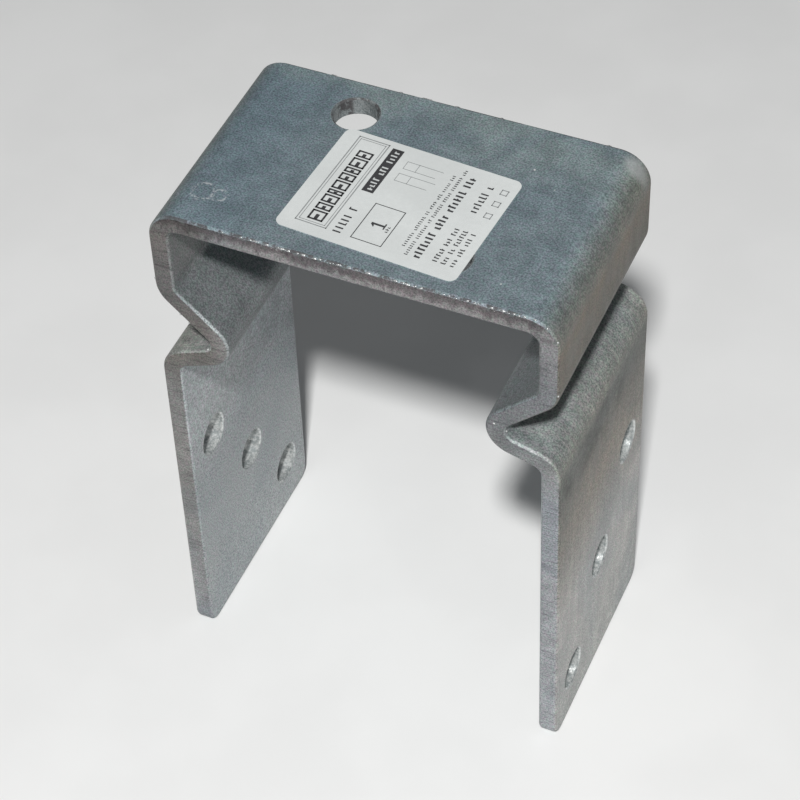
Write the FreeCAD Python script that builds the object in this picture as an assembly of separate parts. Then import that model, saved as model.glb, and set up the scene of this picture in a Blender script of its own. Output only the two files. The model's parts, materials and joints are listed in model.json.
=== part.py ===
import FreeCAD, Part
import math
import os

# Timber post base, folded from one galvanised steel strip.  All sizes are in mm.
#
# The part stands on its leg tips, the way it is stored and sold: the web is on top and the two
# legs point down.  On site it is turned over.  The web is bolted to the concrete, and a timber
# post stands between the legs on the ledges of the two crimps.
#
# +Z is up, X runs across the web from leg to leg, Y runs along the strip's width.  The origin is
# at the middle of the leg tips.

# Strip
thickness = 5.0
strip_width = 60.0        # along Y
edge_round = 0.9          # sheared edges, softened by the zinc

# U shape
height = 150.0            # leg tips to the web's outer face
clear_width = 91.0        # between the upper legs, next to the web
leg_step = 1.0            # below its crimp each leg stands this far outside its upper part
leg_flare = 0.5           # each tip stands this far outside the root of its ledge
tip_corner_radius = 4.0

# Folds
bend_radius = 3.0         # inside the web's corners and the two outer bends of each crimp
nose_radius = 2.5         # inside the tight fold at the crimp's nose

# Crimps, pressed one at a time, so the two sides differ a little
right_stand_off = 48.3    # web's outer face to the root of the ledge that carries the post
left_stand_off = 50.1
right_ledge_slope = 15.5  # degrees, rising from the root to the nose
left_ledge_slope = 23.0
flank_slope = 43.5        # degrees, rising from the nose back to the leg
crimp_reach = 12.8        # the nose stands this far inside the upper leg's inner face

# Holes
web_hole_diameter = 11.0
web_hole_x = 19.5         # two holes on one diagonal of the web
web_hole_y = 18.5
leg_hole_diameter = 11.0
leg_hole_y = 18.3         # three holes on a diagonal of each leg, the middle one on the centre line
leg_hole_pitch = 24.5     # along Z
lowest_leg_hole = 15.5    # leg tips to the centre of the lowest hole
hole_rim_break = 0.4      # chamfer that the punch and the zinc leave

# Drawing aids
smooth_limit = 30.0       # degrees; two faces that meet at less than this count as one smooth face
punch_overlap = 5.0       # a punch stands this far out of the strip on both sides


def vector(x, z):
    """Point or direction in the plane of the profile."""
    return FreeCAD.Vector(x, 0, z)


def meeting_point(point_a, direction_a, point_b, direction_b):
    """Where two straight lines of the profile cross."""
    cross = direction_a.x * direction_b.z - direction_a.z * direction_b.x
    gap = point_b - point_a
    along = (gap.x * direction_b.z - gap.z * direction_b.x) / cross
    return point_a + direction_a * along


def leg_line():
    """Inner face of the right leg below its crimp: the tip, and the direction up to the root."""
    tip = vector(clear_width / 2 + leg_step + leg_flare, 0)
    root = vector(clear_width / 2 + leg_step, height - right_stand_off)
    return tip, (root - tip).normalize()


def inner_corners(stand_off, ledge_slope):
    """Corners of one half's inner face, from the leg tip up to the middle of the web.

    The half is drawn on the right, and the left one is mirrored afterwards.
    """
    ledge = vector(-math.cos(math.radians(ledge_slope)), math.sin(math.radians(ledge_slope)))
    flank = vector(math.cos(math.radians(flank_slope)), math.sin(math.radians(flank_slope)))
    tip, up = leg_line()
    root = tip + up * ((height - stand_off) / up.z)

    # The nose is an arc that touches the ledge and the flank, and reaches in by crimp_reach.
    nose_outer = nose_radius + thickness
    centre_x = clear_width / 2 - crimp_reach + nose_outer
    ledge_z = root.z + (root.x - centre_x) * math.tan(math.radians(ledge_slope))
    centre_z = ledge_z + nose_outer / math.cos(math.radians(ledge_slope))
    on_flank = vector(centre_x, centre_z + nose_outer / math.cos(math.radians(flank_slope)))

    nose = meeting_point(root, ledge, on_flank, flank)
    web_corner = vector(clear_width / 2, height - thickness)
    neck = meeting_point(on_flank, flank, web_corner, vector(0, 1))
    return [tip, root, nose, neck, web_corner, vector(0, web_corner.z)]


def outer_corners(corners):
    """The same run of corners on the outer face, one thickness away."""
    lines = []
    for start, end in zip(corners, corners[1:]):
        direction = (end - start).normalize()
        outward = vector(direction.z, -direction.x)
        lines.append((start + outward * thickness, direction))
    tip = meeting_point(*lines[0], vector(0, 0), vector(1, 0))
    middle = meeting_point(*lines[-1], vector(0, 0), vector(0, 1))
    bends = [meeting_point(*a, *b) for a, b in zip(lines, lines[1:])]
    return [tip] + bends + [middle]


def mirrored(corners):
    """The left half's corners, in the opposite order and without the shared middle point."""
    return [vector(-corner.x, corner.z) for corner in reversed(corners[:-1])]


def rounded_run(corners, radii):
    """Straight edges through the corners, with a tangent arc at each one between the ends."""
    edges = []
    start = corners[0]
    for before, corner, after, radius in zip(corners, corners[1:], corners[2:], radii):
        back = (before - corner).normalize()
        ahead = (after - corner).normalize()
        half_angle = back.getAngle(ahead) / 2
        setback = radius / math.tan(half_angle)
        bisector = (back + ahead).normalize()
        centre = corner + bisector * (radius / math.sin(half_angle))
        arc_start = corner + back * setback
        arc_end = corner + ahead * setback
        edges.append(Part.LineSegment(start, arc_start).toShape())
        edges.append(Part.Arc(arc_start, centre - bisector * radius, arc_end).toShape())
        start = arc_end
    edges.append(Part.LineSegment(start, corners[-1]).toShape())
    return edges


def strip_profile():
    """Closed section of the folded strip in the XZ plane."""
    right = inner_corners(right_stand_off, right_ledge_slope)
    left = inner_corners(left_stand_off, left_ledge_slope)
    wide_radius = bend_radius + thickness
    inner_radii = [bend_radius, nose_radius + thickness, bend_radius, bend_radius]
    outer_radii = [wide_radius, nose_radius, wide_radius, wide_radius]

    inner = right[:-1] + mirrored(left)
    outer = outer_corners(right)[:-1] + mirrored(outer_corners(left))
    inner_run = rounded_run(inner, inner_radii + inner_radii[::-1])
    outer_run = rounded_run(outer, outer_radii + outer_radii[::-1])
    right_tip = Part.LineSegment(outer[0], inner[0]).toShape()
    left_tip = Part.LineSegment(outer[-1], inner[-1]).toShape()
    return Part.Wire(Part.__sortEdges__(inner_run + [left_tip] + outer_run + [right_tip]))


def face_normal(face, point):
    """Normal of a face at a point on it."""
    u, v = face.Surface.parameter(point)
    return face.normalAt(u, v)


def sharp_edges(solid):
    """Edges where two faces meet at an angle, leaving out the smooth seams beside bends."""
    sharp = []
    for edge in solid.Edges:
        faces = solid.ancestorsOfType(edge, Part.Face)
        if len(faces) != 2:
            continue
        middle = edge.valueAt((edge.FirstParameter + edge.LastParameter) / 2)
        turn = face_normal(faces[0], middle).getAngle(face_normal(faces[1], middle))
        if turn > math.radians(smooth_limit):
            sharp.append(edge)
    return sharp


def folded_strip():
    """The strip with its rounded tip corners and softened edges, before the holes."""
    profile = Part.Face(strip_profile())
    strip = profile.extrude(FreeCAD.Vector(0, strip_width, 0))
    strip.translate(FreeCAD.Vector(0, -strip_width / 2, 0))
    tip_corners = [
        edge for edge in strip.Edges
        if edge.BoundBox.ZMax < edge_round and edge.BoundBox.YLength < edge_round
    ]
    strip = strip.makeFillet(tip_corner_radius, tip_corners)
    return strip.makeFillet(edge_round, sharp_edges(strip))


def with_opposite(punch):
    """A punch and its copy half a turn round the Z axis, on the part's other side."""
    opposite = punch.copy()
    opposite.rotate(FreeCAD.Vector(0, 0, 0), FreeCAD.Vector(0, 0, 1), 180)
    return [punch, opposite]


def web_holes():
    """Two punches through the web, for the anchors into the concrete."""
    start = FreeCAD.Vector(web_hole_x, -web_hole_y, height - thickness - punch_overlap)
    length = thickness + 2 * punch_overlap
    return with_opposite(Part.makeCylinder(web_hole_diameter / 2, length, start))


def leg_holes():
    """Three punches square through each leg, on a diagonal, for the screws into the post."""
    tip, up = leg_line()
    outward = vector(up.z, -up.x)
    length = thickness + 2 * punch_overlap
    punches = []
    for step in (-1, 0, 1):
        distance = lowest_leg_hole + (step + 1) * leg_hole_pitch
        start = tip + up * distance - outward * punch_overlap
        start.y = step * leg_hole_y
        punches += with_opposite(Part.makeCylinder(leg_hole_diameter / 2, length, start, outward))
    return punches


def bracket():
    """The finished part: the folded strip with its holes and their broken rims."""
    solid = folded_strip()
    for punch in web_holes() + leg_holes():
        solid = solid.cut(punch)
    rims = [edge for edge in solid.Edges if edge.isClosed()]
    return solid.makeChamfer(hole_rim_break, rims)


os.makedirs("parts", exist_ok=True)
bracket().exportStep("parts/bracket.step")
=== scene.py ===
"""Looks of the timber post base: camera, soft studio light, weathered zinc and a plain sticker."""

import json
import math
import random

import bmesh
import bpy
from mathutils import Matrix, Vector


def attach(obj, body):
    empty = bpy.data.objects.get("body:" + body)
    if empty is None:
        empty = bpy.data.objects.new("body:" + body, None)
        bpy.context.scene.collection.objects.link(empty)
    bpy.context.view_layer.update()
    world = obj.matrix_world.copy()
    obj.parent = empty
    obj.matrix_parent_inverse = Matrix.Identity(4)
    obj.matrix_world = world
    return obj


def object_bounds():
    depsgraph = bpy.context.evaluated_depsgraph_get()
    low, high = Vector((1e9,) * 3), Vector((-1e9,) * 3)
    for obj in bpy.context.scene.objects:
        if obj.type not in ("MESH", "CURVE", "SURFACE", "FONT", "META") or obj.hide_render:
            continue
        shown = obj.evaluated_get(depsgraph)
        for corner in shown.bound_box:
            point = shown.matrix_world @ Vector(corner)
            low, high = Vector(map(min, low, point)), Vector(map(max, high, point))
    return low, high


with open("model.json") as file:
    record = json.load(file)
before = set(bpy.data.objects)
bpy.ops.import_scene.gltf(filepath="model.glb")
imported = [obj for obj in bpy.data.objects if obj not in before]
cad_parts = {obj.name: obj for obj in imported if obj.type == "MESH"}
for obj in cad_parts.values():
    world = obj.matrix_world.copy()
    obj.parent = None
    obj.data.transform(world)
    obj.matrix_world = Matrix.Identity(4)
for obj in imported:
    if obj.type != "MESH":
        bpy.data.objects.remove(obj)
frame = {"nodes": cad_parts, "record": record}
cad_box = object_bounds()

MM = 0.001
TOP = cad_box[1].z / MM          # the web's outer face, in mm


# ---------------------------------------------------------------- camera, fitted to the photo

CAMERA_AIM = Vector((-2.66, 0.21, 76.25)) * MM
CAMERA_AZIMUTH = 25.30
CAMERA_ELEVATION = 46.69
CAMERA_ROLL = -2.51
CAMERA_DISTANCE = 627.04 * MM
CAMERA_LENS = 112.61
SENSOR_WIDTH = 36
CAMERA_CLIP = (0.01, 20)


def add_camera():
    azimuth, elevation = math.radians(CAMERA_AZIMUTH), math.radians(CAMERA_ELEVATION)
    back = Vector((
        math.sin(azimuth) * math.cos(elevation),
        -math.cos(azimuth) * math.cos(elevation),
        math.sin(elevation),
    ))
    level = Vector((math.cos(azimuth), math.sin(azimuth), 0))
    up = back.cross(level)
    roll = math.radians(CAMERA_ROLL)
    right = level * math.cos(roll) + up * math.sin(roll)
    data = bpy.data.cameras.new("camera")
    data.lens = CAMERA_LENS
    data.sensor_width = SENSOR_WIDTH
    data.clip_start, data.clip_end = CAMERA_CLIP
    camera = bpy.data.objects.new("camera", data)
    bpy.context.scene.collection.objects.link(camera)
    axes = Matrix((right, back.cross(right), back)).transposed()
    camera.matrix_world = Matrix.Translation(CAMERA_AIM + back * CAMERA_DISTANCE) @ axes.to_4x4()
    bpy.context.scene.camera = camera


# ---------------------------------------------------------------- light and floor

LIGHTS = (              # name, width and depth in metres, watts, place in metres
    ("key", (0.08, 0.08), 16.5, (0.25, -0.66, 1.07)),
    ("soft", (0.9, 0.7), 0.8, (-0.5, -0.9, 1.0)),
)
LIGHT_TARGET = Vector((0, 0, 0.08))
SKY_COLOUR = (0.92, 0.96, 1.0, 1)
SKY_STRENGTH = 0.11
FLOOR_REACH = 3.0       # metres to each side


def add_light(name, size, power, place):
    data = bpy.data.lights.new(name, "AREA")
    data.shape = "RECTANGLE"
    data.size, data.size_y = size
    data.energy = power
    light = bpy.data.objects.new(name, data)
    bpy.context.scene.collection.objects.link(light)
    light.location = place
    light.rotation_euler = (LIGHT_TARGET - Vector(place)).to_track_quat("-Z", "Y").to_euler()


def add_studio():
    world = bpy.data.worlds.new("studio")
    world.use_nodes = True
    background = world.node_tree.nodes["Background"]
    background.inputs["Color"].default_value = SKY_COLOUR
    background.inputs["Strength"].default_value = SKY_STRENGTH
    bpy.context.scene.world = world
    bpy.context.scene.view_settings.view_transform = "Standard"

    for light in LIGHTS:
        add_light(*light)
    add_floor()


def add_floor():
    graph = Graph("floor_paint")
    spot = graph.noise(graph.millimetres(), 0.02, detail=3)
    colour = graph.varied(spot, 0.35, 0.65, (0.80, 0.80, 0.79), (0.83, 0.83, 0.82))
    graph.shade(colour, roughness=0.9)
    mesh = bpy.data.meshes.new("floor")
    corners = [(sx * FLOOR_REACH, sy * FLOOR_REACH, 0) for sx, sy in ((-1, -1), (1, -1), (1, 1), (-1, 1))]
    mesh.from_pydata(corners, [], [(0, 1, 2, 3)])
    mesh.materials.append(graph.material)
    floor = bpy.data.objects.new("floor", mesh)
    bpy.context.scene.collection.objects.link(floor)


# ---------------------------------------------------------------- material graphs

class Graph:
    """A material whose nodes are written as short calls."""

    def __init__(self, name):
        self.material = bpy.data.materials.new(name)
        self.material.use_nodes = True
        self.tree = self.material.node_tree
        self.shader = self.tree.nodes["Principled BSDF"]
        self.coordinates = None

    def node(self, kind, sockets, output=0, **settings):
        """One node. sockets maps an input to a constant or to another node's output."""
        node = self.tree.nodes.new("ShaderNode" + kind)
        for name, value in settings.items():
            setattr(node, name, value)
        for name, value in sockets.items():
            self.put(node.inputs[name], value)
        return node.outputs[output]

    def put(self, socket, value):
        if isinstance(value, bpy.types.NodeSocket):
            self.tree.links.new(value, socket)
        elif socket.type == "RGBA":
            socket.default_value = (*value, 1)
        else:
            socket.default_value = value

    def millimetres(self):
        """Place on the object, in millimetres."""
        if self.coordinates is None:
            place = self.node("TexCoord", {}, "Object")
            self.coordinates = self.node(
                "VectorMath", {0: place, "Scale": 1000}, operation="SCALE")
        return self.coordinates

    def stretched(self, along):
        """Place with each axis multiplied, to draw grain out along an axis."""
        return self.node("VectorMath", {0: self.millimetres(), 1: along}, operation="MULTIPLY")

    def noise(self, place, scale, detail=2, roughness=0.5, distortion=0):
        return self.node("TexNoise", {
            "Vector": place, "Scale": scale, "Detail": detail,
            "Roughness": roughness, "Distortion": distortion})

    def cells(self, place, scale, output="Distance"):
        return self.node("TexVoronoi", {"Vector": place, "Scale": scale}, output)

    def math(self, operation, a, b=0.0):
        return self.node("Math", {0: a, 1: b}, operation=operation)

    def spread(self, value, low, high, to_low=0.0, to_high=1.0):
        """value from low..high to to_low..to_high, eased, and held beyond the ends."""
        return self.node("MapRange", {
            "Value": value, "From Min": low, "From Max": high, "To Min": to_low, "To Max": to_high,
        }, interpolation_type="SMOOTHSTEP")

    def between(self, mask, off, on):
        """off where the mask is 0, and on where it is 1."""
        return self.spread(mask, 0, 1, off, on)

    def band(self, value, start, full, fading, end):
        """1 from full to fading, and 0 before start and after end."""
        return self.times(self.spread(value, start, full), self.spread(value, end, fading))

    def mix(self, amount, a, b, blend="MIX"):
        return self.node("Mix", {0: amount, 6: a, 7: b}, 2, data_type="RGBA", blend_type=blend)

    def tinted(self, colour, amount, factor):
        """colour times factor, as far as amount says."""
        return self.mix(amount, colour, factor, "MULTIPLY")

    def varied(self, value, low, high, a, b):
        """Colour a where value is under low, b where it is over high."""
        return self.mix(self.spread(value, low, high), a, b)

    def mix_value(self, amount, a, b):
        return self.node("Mix", {0: amount, 2: a, 3: b}, 0, data_type="FLOAT")

    def times(self, *values):
        product = values[0]
        for value in values[1:]:
            product = self.math("MULTIPLY", product, value)
        return product

    def ramp(self, value, low, high, stops):
        """Colours along low..high. stops are (place, colour), with the place as value has it."""
        share = self.node("MapRange", {"Value": value, "From Min": low, "From Max": high})
        node = self.tree.nodes.new("ShaderNodeValToRGB")
        self.tree.links.new(share, node.inputs[0])
        elements = node.color_ramp.elements
        while len(elements) < len(stops):
            elements.new(0.5)
        for element, (place, colour) in zip(elements, stops):
            element.position = (place - low) / (high - low)
            element.color = (*colour, 1)
        return node.outputs[0]

    def point(self, x, y, z):
        """A place put together from three values."""
        return self.node("CombineXYZ", {0: x, 1: y, 2: z})

    def away(self, a, b, centre):
        """Distance in a plane from the point (a, b) to a centre."""
        squares = []
        for value, middle in zip((a, b), centre):
            offset = self.math("SUBTRACT", value, middle)
            squares.append(self.math("MULTIPLY", offset, offset))
        return self.math("SQRT", self.math("ADD", *squares))

    def axes(self, vector):
        split = self.tree.nodes.new("ShaderNodeSeparateXYZ")
        self.tree.links.new(vector, split.inputs[0])
        return split.outputs

    def bump(self, height, depth, below=None):
        """Surface relief. depth is in millimetres for a height of 1."""
        sockets = {"Height": height, "Strength": 1.0, "Distance": depth * MM}
        if below is not None:
            sockets["Normal"] = below
        return self.node("Bump", sockets)

    def shade(self, colour, roughness, metallic=0.0, normal=None):
        for name, value in (("Base Color", colour), ("Roughness", roughness),
                            ("Metallic", metallic), ("Normal", normal)):
            if value is not None:
                self.put(self.shader.inputs[name], value)


# ---------------------------------------------------------------- zinc

WEB_COLOUR = (0.222, 0.276, 0.296)
# The outer ramp has light and shade painted in: lighter low down where floor light falls, painted shade
# darkening towards 122 mm, and a painted brown reflection of the surroundings from 122 to 140 mm.
OUTER_COLOURS_PAINTED_LIGHT = (        # outer faces, by height in mm
    (0, (0.325, 0.335, 0.325)), (45, (0.37, 0.37, 0.36)), (72, (0.23, 0.212, 0.183)),
    (86, (0.17, 0.16, 0.138)), (93, (0.115, 0.118, 0.105)), (97, (0.13, 0.135, 0.12)),
    (101, (0.20, 0.20, 0.178)), (104.5, (0.29, 0.30, 0.28)), (110, (0.32, 0.345, 0.335)),
    (122, (0.12, 0.116, 0.10)), (140, (0.156, 0.135, 0.106)), (146.5, (0.185, 0.20, 0.185)),
    (149, (0.222, 0.258, 0.256)),
)
# The inner ramp is lighter from 80 to 97 mm: painted light where the crimp's shadow falls.
INNER_COLOURS_PAINTED_LIGHT = (        # inner faces, by height in mm
    (0, (0.353, 0.376, 0.376)), (55, (0.335, 0.358, 0.363)), (80, (0.44, 0.465, 0.47)),
    (97, (0.42, 0.45, 0.45)), (106, (0.23, 0.245, 0.245)), (115, (0.19, 0.206, 0.206)),
    (126, (0.19, 0.204, 0.20)), (129, (0.22, 0.226, 0.22)), (145, (0.19, 0.19, 0.18)),
)
CUT_COLOURS = (          # sheared faces, by height in mm
    (0, (0.30, 0.315, 0.325)), (90, (0.265, 0.275, 0.285)), (104, (0.225, 0.225, 0.22)),
    (126, (0.21, 0.21, 0.215)), (144, (0.232, 0.224, 0.224)), (146.6, (0.248, 0.24, 0.236)),
    (147.8, (0.132, 0.12, 0.12)), (149.4, (0.105, 0.095, 0.097)), (150, (0.13, 0.135, 0.135)),
)
EDGE_ZINC_AND_HIGHLIGHT = (0.42, 0.43, 0.42)

# Bands of height in mm: where each starts, is full, starts to fade and has ended
CREST_BAND = (98, 101, 105, 108)            # outer bend that leads from the ledge into the leg
DARK_BAND = (84, 91, 97, 101)               # outer face just below that bend
FLANK_HIGHLIGHT_BAND = (106, 109, 119, 124)     # edges of the left crimp's flank, where a highlight is painted

RINGS = (                                   # pressed marks on the web: centre, radius and line in mm
    ((-40.9, -19.2), 2.7, 0.7),
    ((-36.8, -19.2), 1.8, 0.6),
)
WORN_CORNER = (47.6, 26.4)                  # the web's back right corner, rubbed bright


class Strip:
    """Places, masks and noises on the strip, shared by all of its looks.

    Half a turn about Z swaps the legs: reach, turned_y and outward are the same on both.
    """

    def __init__(self, graph):
        self.place = graph.millimetres()
        self.x, self.y, self.z = graph.axes(self.place)
        normal_x, normal_y, _ = graph.axes(graph.node("TexCoord", {}, "Normal"))
        side = graph.math("SIGN", self.x)
        self.reach = graph.math("ABSOLUTE", self.x)
        self.turned_y = graph.math("MULTIPLY", self.y, side)
        self.outward = graph.math("MULTIPLY", normal_x, side)
        self.facing = graph.math("ABSOLUTE", normal_y)

        steep = graph.spread(self.outward, 0.15, 0.7)
        below_web = graph.times(graph.spread(self.z, 140, 130), graph.spread(self.outward, 0.02, 0.12))
        self.outer = graph.math("MAXIMUM", steep, below_web)
        self.inner = graph.spread(self.outward, -0.15, -0.7)
        self.cut = graph.spread(self.facing, 0.75, 0.95)
        self.edge = graph.band(self.facing, 0.1, 0.35, 0.8, 0.95)
        self.web = graph.spread(self.z, 143.5, 145.5)

        self.cloud = graph.noise(self.place, 0.035, detail=4, roughness=0.55, distortion=0.6)
        self.mottle = graph.noise(self.place, 0.16, detail=4, roughness=0.6, distortion=0.4)
        self.tint = graph.noise(self.place, 1.0, detail=3, roughness=0.65)
        self.grain = graph.noise(self.place, 2.2, detail=3, roughness=0.75)
        self.grain_spots = graph.spread(self.grain, 0.35, 0.6)
        self.shear = graph.noise(graph.point(
            graph.math("MULTIPLY", self.x, graph.between(self.web, 0.12, 0.8)), self.y,
            graph.math("MULTIPLY", self.z, graph.between(self.web, 1.3, 0.4)),
        ), 1.0, detail=3, roughness=0.6)


def face_colours(graph, strip):
    """Colour of the web, the outer and inner faces and the sheared faces, by height, with light and shade
    painted into the outer and inner faces.
    """
    uneven = graph.noise(graph.stretched((0.5, 0.5, 0.2)), 1.0, detail=3)
    ragged = graph.math("ADD", strip.z, graph.spread(uneven, 0.3, 0.7, -0.9, 0.9))
    cut_height = graph.mix_value(strip.web, strip.z, ragged)
    colour = graph.mix(strip.outer, WEB_COLOUR, graph.ramp(strip.z, 0, TOP, OUTER_COLOURS_PAINTED_LIGHT))
    colour = graph.mix(strip.inner, colour, graph.ramp(strip.z, 0, TOP, INNER_COLOURS_PAINTED_LIGHT))
    return graph.mix(strip.cut, colour, graph.ramp(cut_height, 0, TOP, CUT_COLOURS))


def with_weather(graph, strip, colour):
    """Clouds, mottling and tints of old zinc, and the streaks that it drained in."""
    calm = graph.math("MAXIMUM", strip.inner, graph.times(strip.web, 0.8))
    unevenness = graph.between(calm, 1.0, 0.5)
    clouds = graph.varied(strip.cloud, 0.35, 0.65, (0.87, 0.90, 0.92), (1.12, 1.10, 1.08))
    mottles = graph.varied(strip.mottle, 0.32, 0.68, (0.84, 0.84, 0.84), (1.16, 1.16, 1.16))
    tints = graph.varied(strip.tint, 0.35, 0.65, (1.06, 0.97, 1.05), (0.94, 1.04, 1.01))
    colour = graph.tinted(colour, unevenness, clouds)
    colour = graph.tinted(colour, unevenness, mottles)
    colour = graph.tinted(colour, 1.0, tints)

    web_left = graph.times(strip.web, graph.spread(strip.x, -14, -40))
    web_back = graph.times(
        strip.web, graph.spread(strip.y, 4, 26), graph.spread(strip.cloud, 0.35, 0.55))
    colour = graph.tinted(colour, web_left, (0.90, 0.94, 0.97))
    colour = graph.tinted(colour, web_back, (1.16, 1.15, 1.08))

    drained = graph.noise(graph.stretched((0.05, 0.9, 0.05)), 1.0, detail=4, roughness=0.6)
    streaks = graph.times(strip.outer, graph.spread(drained, 0.35, 0.65))
    return graph.tinted(colour, streaks, (1.16, 1.15, 1.13))


def with_crimp_shades(graph, strip, colour):
    """Fine bright lines along the ledge's outer bend, and dark patches just below it."""
    crest = graph.times(graph.band(strip.z, *CREST_BAND), graph.spread(strip.outward, -0.1, 0.1))
    comb = graph.noise(graph.stretched((0.15, 2.1, 0.15)), 1.0, detail=2)
    colour = graph.tinted(
        colour, graph.times(crest, graph.spread(comb, 0.48, 0.62)), (1.22, 1.23, 1.19))
    patches = graph.noise(graph.stretched((0.1, 0.13, 0.1)), 1.0, detail=3, roughness=0.6)
    dark_band = graph.times(graph.band(strip.z, *DARK_BAND), strip.outer)
    return graph.tinted(
        colour, graph.times(dark_band, graph.spread(patches, 0.42, 0.60), 0.6), (0.45, 0.45, 0.43))


def with_cut_shades(graph, strip, colour):
    """Marks of the shears on the cut faces. The left ones are browner than the right ones."""
    colour = graph.tinted(
        colour, graph.times(strip.cut, graph.spread(strip.shear, 0.50, 0.68)), (0.66, 0.64, 0.66))
    left = graph.times(strip.cut, graph.spread(strip.x, -30, -40), graph.spread(strip.z, -20, 60))
    right = graph.times(strip.cut, graph.spread(strip.x, 30, 40))
    brown = graph.varied(strip.z, 90, 104, (0.76, 0.73, 0.68), (0.63, 0.60, 0.56))
    silver = graph.varied(strip.z, 95, 112, (1.08, 1.08, 1.08), (0.90, 0.92, 0.92))
    colour = graph.tinted(colour, left, brown)
    return graph.tinted(colour, right, silver)


def with_bright_spots(graph, strip, colour):
    """Lighter zinc on the rounded edges, partly a painted highlight, a painted highlight on the edges of the
    left crimp's flank, and a few pale flecks on the faces.
    """
    # Built-up zinc on the rounded edges, partly a painted highlight.
    colour = graph.mix(graph.times(strip.edge, strip.grain_spots, 0.18), colour, EDGE_ZINC_AND_HIGHLIGHT)
    # Painted highlight on the rounded edges of the left crimp's flank.
    painted_flank_highlight = graph.times(
        strip.edge, graph.spread(strip.outward, -0.05, -0.3),
        graph.band(strip.z, *FLANK_HIGHLIGHT_BAND), graph.spread(strip.x, -20, -30))
    colour = graph.mix(graph.times(painted_flank_highlight, strip.grain_spots, 0.6), colour, (0.55, 0.59, 0.59))

    from_fleck = graph.cells(strip.place, 0.14)
    pick, _, _ = graph.axes(graph.cells(strip.place, 0.14, output="Color"))
    fleck = graph.times(graph.spread(from_fleck, 0.045, 0.028), graph.spread(pick, 0.62, 0.63))
    return graph.mix(fleck, colour, (0.85, 0.86, 0.84))


def bores():
    """Centres of one web hole and of one leg's holes, where x is above 0, and their shared radius."""
    web, leg = [], []
    for mount in frame["record"]["mounts"]:
        if mount["kind"] != "bore" or mount["pos_m"][0] < 0:
            continue
        group = web if mount["axis"][2] > 0.9 else leg
        group.append([value / MM for value in mount["pos_m"]])
        radius = mount["dims"]["r_mm"]
    return web, leg, radius


def with_holes(graph, strip, colour):
    """Walls and rims of the holes, with painted light on the leg holes' walls. Also gives the mask of the
    leg holes' walls.
    """
    web, leg, radius = bores()
    from_web_hole = graph.away(strip.reach, strip.turned_y, web[0])
    from_leg_hole = graph.away(strip.turned_y, strip.z, leg[0][1:])
    for centre in leg[1:]:
        from_leg_hole = graph.math(
            "MINIMUM", from_leg_hole, graph.away(strip.turned_y, strip.z, centre[1:]))
    in_leg_hole = graph.spread(from_leg_hole, radius + 0.45, radius + 0.25)
    in_web_hole = graph.spread(from_web_hole, radius + 0.6, radius + 0.3)
    # Leg hole walls: painted light, in patches from darker to bright.
    leg_wall_painted_light = graph.varied(strip.tint, 0.38, 0.6, (0.36, 0.40, 0.40), (0.78, 0.80, 0.78))
    web_wall = graph.varied(strip.grain, 0.4, 0.6, (0.15, 0.175, 0.18), (0.24, 0.265, 0.27))
    colour = graph.mix(in_leg_hole, colour, leg_wall_painted_light)
    colour = graph.mix(in_web_hole, colour, web_wall)

    from_hole = graph.math("MINIMUM", from_web_hole, from_leg_hole)
    rim = graph.times(
        graph.spread(from_hole, radius + 0.8, radius + 0.5), strip.grain_spots,
        graph.between(strip.web, 0.5, 0.25))
    return graph.mix(rim, colour, (0.42, 0.43, 0.43)), in_leg_hole


def with_marks(graph, strip, colour):
    """The rings pressed into the web, its worn corner and the dark burr of its long edges."""
    dust = graph.spread(graph.noise(strip.place, 1.2, detail=2), 0.46, 0.58)
    for centre, radius, line in RINGS:
        distance = graph.away(strip.x, strip.y, centre)
        ring = graph.spread(
            graph.math("ABSOLUTE", graph.math("SUBTRACT", distance, radius)), line, 0)
        colour = graph.mix(graph.times(ring, dust, strip.web, 0.8), colour, (0.62, 0.66, 0.68))
    worn = graph.times(
        graph.spread(graph.away(strip.x, strip.y, WORN_CORNER), 4.0, 1.0),
        graph.spread(strip.z, 140, 146), 0.6)
    colour = graph.mix(worn, colour, (0.60, 0.62, 0.62))

    ragged = graph.noise(strip.place, 0.45, detail=4, roughness=0.7)
    burr = graph.times(
        strip.edge, strip.web, graph.spread(strip.reach, 49, 44), graph.spread(strip.facing, 0.93, 0.8),
        graph.spread(ragged, 0.42, 0.56), 0.85)
    return graph.mix(burr, colour, (0.075, 0.068, 0.07))


def zinc():
    """Weathered hot-dip zinc with light and shade painted into its colour, duller on the edges and shinier
    inside the leg holes.
    """
    graph = Graph("galvanised_zinc")
    strip = Strip(graph)
    colour = face_colours(graph, strip)
    colour = with_weather(graph, strip, colour)
    colour = with_crimp_shades(graph, strip, colour)
    colour = with_cut_shades(graph, strip, colour)
    grains = graph.varied(strip.grain, 0.35, 0.65, (0.62, 0.63, 0.64), (1.42, 1.41, 1.40))
    colour = graph.tinted(colour, 1.0, grains)
    colour = with_bright_spots(graph, strip, colour)
    colour, in_leg_hole = with_holes(graph, strip, colour)
    colour = with_marks(graph, strip, colour)

    face_roughness = graph.spread(strip.mottle, 0.3, 0.7, 0.42, 0.58)
    edge_roughness = graph.times(strip.edge, graph.between(strip.web, 0.68, 0.8))
    roughness = graph.math("MAXIMUM", face_roughness, edge_roughness)
    roughness = graph.mix_value(in_leg_hole, roughness, 0.24)
    relief = graph.bump(strip.mottle, 0.12)
    relief = graph.bump(strip.grain, 0.05, relief)
    relief = graph.bump(graph.times(strip.cut, strip.shear), 0.15, relief)
    graph.shade(colour, roughness, 0.5, relief)
    return graph.material


# ---------------------------------------------------------------- zinc beads along the edges

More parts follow.
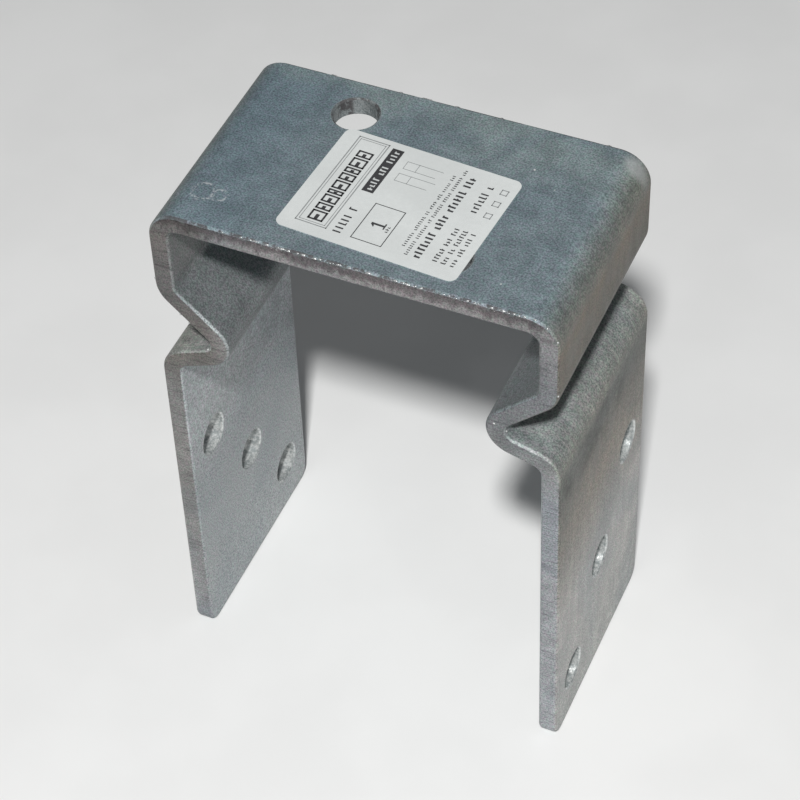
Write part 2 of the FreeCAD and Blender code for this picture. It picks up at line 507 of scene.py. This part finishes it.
BEAD_SEED = 7
FRONT_BEADS, BACK_BEADS = 95, 10            # along the web's front and back edges
FRONT_BEAD_RANGE = (-20, 45)                # along X, in mm
BACK_BEAD_RANGE = (-40, 44)
CLUSTERS = (-33, -22, -14, -3, 12, 20, 36)  # places along X where front beads gather
CLUSTER_SHARE = 0.45
CLUSTER_SPREAD = 2.5
FRONT_INSET, BACK_INSET, SINGLE_INSET = 0.32, 0.34, 0.35    # centre of a bead inside the end face
FRONT_DEPTH, BACK_DEPTH = 0.30, 0.34                        # and below the web's outer face
SINGLE_HALF_SIZES = (0.24, 0.26, 0.30)
SINGLE_BEADS = (                            # x and z on the front edges, in mm
    (47.5, 148.0), (50.0, 144.6), (50.3, 127.8), (45.9, 106.8), (38.0, 111.4),
    (-44.7, 118.6), (-50.3, 128.5), (-42.6, 116.6), (-38.4, 109.1),
)


def bead_material():
    graph = Graph("zinc_beads")
    grain = graph.noise(graph.millimetres(), 1.8, detail=3)
    colour = graph.varied(grain, 0.35, 0.65, (0.30, 0.31, 0.31), (0.66, 0.67, 0.66))
    graph.shade(colour, graph.spread(grain, 0.3, 0.7, 0.28, 0.45), 0.7, graph.bump(grain, 0.05))
    return graph.material


def add_lump(mesh, place, half_sizes):
    """One uneven closed lump, with its place and half sizes in mm."""
    made = bmesh.ops.create_icosphere(mesh, subdivisions=2, radius=1.0)
    for vertex in made["verts"]:
        swell = math.sin(5 * vertex.co.x + place[0]) * math.cos(4 * vertex.co.z + place[2])
        wobble = 1 + 0.16 * swell
        vertex.co = Vector([
            (centre + value * half * wobble) * MM
            for centre, value, half in zip(place, vertex.co, half_sizes)])


def add_beads():
    """Small lumps of zinc that set along the strip's edges as it drained."""
    rng = random.Random(BEAD_SEED)
    mesh = bmesh.new()
    front, back = cad_box[0].y / MM, cad_box[1].y / MM
    for _ in range(FRONT_BEADS):
        x = rng.uniform(*FRONT_BEAD_RANGE)
        if rng.random() < CLUSTER_SHARE:
            x = rng.choice(CLUSTERS) + rng.gauss(0, CLUSTER_SPREAD)
        size = rng.uniform(0.12, 0.30)
        drop = rng.choice((0, 0, 0.15, 0.5))
        place = (x, front + FRONT_INSET - 0.2 * drop, TOP - FRONT_DEPTH - drop)
        add_lump(mesh, place, (size * rng.uniform(1.2, 3.0), size * 0.8, size * 0.75))
    for _ in range(BACK_BEADS):
        place = (rng.uniform(*BACK_BEAD_RANGE), back - BACK_INSET, TOP - BACK_DEPTH)
        add_lump(mesh, place, (rng.uniform(0.3, 0.9), 0.3, 0.3))
    for x, z in SINGLE_BEADS:
        add_lump(mesh, (x, front + SINGLE_INSET, z), SINGLE_HALF_SIZES)
    data = bpy.data.meshes.new("zinc_beads")
    mesh.to_mesh(data)
    mesh.free()
    for polygon in data.polygons:
        polygon.use_smooth = True
    data.materials.append(bead_material())
    add_piece("zinc_beads", data)


# ---------------------------------------------------------------- sticker

STICKER_CENTRE = (2.5, -6.4)      # on the web, in mm
STICKER_TURN = -3.9                # degrees about Z
STICKER_LENGTH, STICKER_WIDTH = 45.6, 36.2
STICKER_CORNER = 2.0
STICKER_THICKNESS = 0.15
STICKER_GAP = 0.01                # between the web and the paper, so that their faces stay apart
INK_LIFT = 0.02
STICKER_SEED = 3


def on_sticker(along, across, lift):
    """A point given from the sticker's middle, as a place in the shared frame in metres."""
    turn = math.radians(STICKER_TURN)
    x = STICKER_CENTRE[0] + along * math.cos(turn) - across * math.sin(turn)
    y = STICKER_CENTRE[1] + along * math.sin(turn) + across * math.cos(turn)
    return (x * MM, y * MM, (TOP + lift) * MM)


def rounded_outline(length, width, corner, steps=8):
    """Rectangle with a quarter circle at each corner."""
    points = []
    for quarter, (sx, sy) in enumerate(((1, 1), (-1, 1), (-1, -1), (1, -1))):
        for step in range(steps + 1):
            angle = math.radians(90 * (quarter + step / steps))
            points.append((
                sx * (length / 2 - corner) + corner * math.cos(angle),
                sy * (width / 2 - corner) + corner * math.sin(angle),
            ))
    return points


def add_piece(name, mesh):
    piece = bpy.data.objects.new(name, mesh)
    bpy.context.scene.collection.objects.link(piece)
    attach(piece, "root")


def prism(outlines, low, high):
    """Closed flat bodies over polygons given on the sticker, in one mesh."""
    points, faces = [], []
    for outline in outlines:
        first, count = len(points), len(outline)
        points += [on_sticker(*point, low) for point in outline]
        points += [on_sticker(*point, high) for point in outline]
        faces.append(tuple(first + i for i in reversed(range(count))))
        faces.append(tuple(first + count + i for i in range(count)))
        for i in range(count):
            j = (i + 1) % count
            faces.append((first + i, first + j, first + count + j, first + count + i))
    mesh = bpy.data.meshes.new("sticker_part")
    mesh.from_pydata(points, [], faces)
    return mesh


def block(along, across):
    """Rectangle from two ranges, down the label and across it."""
    return [(along[0], across[0]), (along[1], across[0]), (along[1], across[1]), (along[0], across[1])]


def outline_box(along, across, line):
    """The four sides of a box, drawn with a line of the given width."""
    a0, a1 = along
    c0, c1 = across
    return [
        block((a0, a0 + line), across), block((a1 - line, a1), across),
        block((a0, a1), (c0, c0 + line)), block((a0, a1), (c1 - line, c1)),
    ]


def strokes(rng, along, across, letter, weight, word=7):
    """A line of print without letters: words made of short upright strokes of uneven height."""
    made = []
    place, left = across[0], rng.randint(3, word)
    while place < across[1] - letter * 0.5:
        if left == 0:
            place, left = place + letter * 0.9, rng.randint(2, word)
            continue
        low = along[0] + (along[1] - along[0]) * rng.choice((0, 0, 0.25))
        made.append(block((low, along[1]), (place, place + weight)))
        if rng.random() < 0.55:
            middle = rng.choice((low, (low + along[1]) / 2 - weight / 3, along[1] - weight * 0.7))
            made.append(block((middle, middle + weight * 0.7), (place + weight, place + letter * 0.62)))
        place += letter
        left -= 1
    return made


# The print's places are in mm from the sticker's middle: first down the label, then across it.

def name_frame():
    """Double frame round the row where the label has its name."""
    outer = outline_box((-19.0, -10.9), (-14.9, 16.6), 0.28)
    inner = outline_box((-18.3, -11.6), (-14.2, 15.9), 0.18)
    return outer + inner


def name_row():
    """Outlined boxes of uneven width in place of a name."""
    marks = []
    across = -13.4
    for width in (3.3, 2.2, 2.7, 1.5, 2.9, 2.4, 1.8, 3.1, 2.3):
        marks += outline_box((-16.7, -12.8), (across, across + width), 0.5)
        marks.append(block((-15.2, -14.3), (across + 0.4, across + width * 0.62)))
        across += width + 0.42
    return marks


def numeral_one():
    """The plain number of pieces: its stem, its foot and its flag."""
    flag = [(-2.6, -8.95), (-1.7, -9.75), (-1.7, -9.25), (-1.9, -8.95)]
    return [block((-2.6, 0.6), (-8.95, -8.35)), block((0.6, 0.95), (-9.6, -7.7)), flag]


def sketch():
    """Thin lines of a small drawing: two legs, seen from the front."""
    lines = []
    for start in (6.2, 10.6):
        end = start + 2.76
        lines += [
            block((-4.6, 3.6), (start, start + 0.16)), block((-4.6, 4.6), (end - 0.16, end)),
            block((-4.7, -4.55), (start, end)), block((-1.6, -1.46), (start, end)),
        ]
    return lines


def sticker_print():
    """Generic print in the real label's layout: dark marks, grey marks and marks left white."""
    rng = random.Random(STICKER_SEED)
    grey = name_frame()
    dark = name_row() + [block((-9.9, -6.9), (0.1, 16.0))]
    white = strokes(rng, (-9.2, -7.6), (0.9, 15.4), 1.15, 0.42)
    dark += strokes(rng, (-9.4, -7.4), (-14.8, -5.1), 1.35, 0.45)
    dark += outline_box((-4.8, 3.0), (-14.9, -2.4), 0.22) + numeral_one()
    dark += strokes(rng, (1.3, 2.1), (-10.2, -7.4), 0.75, 0.25, 3)
    grey += sketch()
    dark += strokes(rng, (6.9, 7.7), (-12.3, 14.0), 0.72, 0.24)
    dark += strokes(rng, (8.6, 9.4), (-14.6, 16.4), 0.72, 0.24)
    dark += strokes(rng, (10.5, 12.4), (-14.5, 15.4), 1.3, 0.55, 12)
    for top in (15.2, 17.25, 19.3):
        dark += strokes(rng, (top, top + 1.2), (-13.8, -2.0), 0.95, 0.34, 9)
    dark += strokes(rng, (15.4, 17.3), (4.2, 14.4), 1.25, 0.45)
    for middle in (4.6, 8.9, 13.1):
        grey += outline_box((19.2, 21.0), (middle - 0.9, middle + 0.9), 0.25)
    return dark, grey, white


def paper(name, low, high):
    """Printed or plain paper, between two colours of its fibres."""
    graph = Graph(name)
    fibre = graph.noise(graph.millimetres(), 0.9, detail=4)
    cloud = graph.noise(graph.millimetres(), 0.06, detail=2)
    colour = graph.mix(fibre, low, high)
    colour = graph.mix(graph.spread(cloud, 0.35, 0.65, 0, 0.5), colour, tuple(0.93 * value for value in low))
    graph.shade(colour, 0.5, normal=graph.bump(fibre, 0.02))
    return graph.material


def add_sticker():
    """The paper and its print, one piece for each ink."""
    outline = rounded_outline(STICKER_LENGTH, STICKER_WIDTH, STICKER_CORNER)
    sheet = prism([outline], STICKER_GAP, STICKER_THICKNESS)
    sheet.materials.append(paper("sticker_paper", (0.56, 0.58, 0.57), (0.64, 0.66, 0.65)))
    add_piece("sticker", sheet)
    dark, grey, white = sticker_print()
    for name, marks, lift, colours in (
            ("sticker_print", dark, 1, ((0.03, 0.03, 0.032), (0.06, 0.06, 0.063))),
            ("sticker_lines", grey, 1, ((0.22, 0.23, 0.23), (0.30, 0.31, 0.31))),
            ("sticker_reversed", white, 2, ((0.50, 0.52, 0.51), (0.58, 0.60, 0.59)))):
        mesh = prism(marks, STICKER_THICKNESS / 2, STICKER_THICKNESS + lift * INK_LIFT)
        mesh.materials.append(paper(name, *colours))
        add_piece(name, mesh)


# ---------------------------------------------------------------- scene

add_camera()
add_studio()
for node in frame["nodes"].values():
    node.data.materials.clear()
    node.data.materials.append(zinc())
add_beads()
add_sticker()
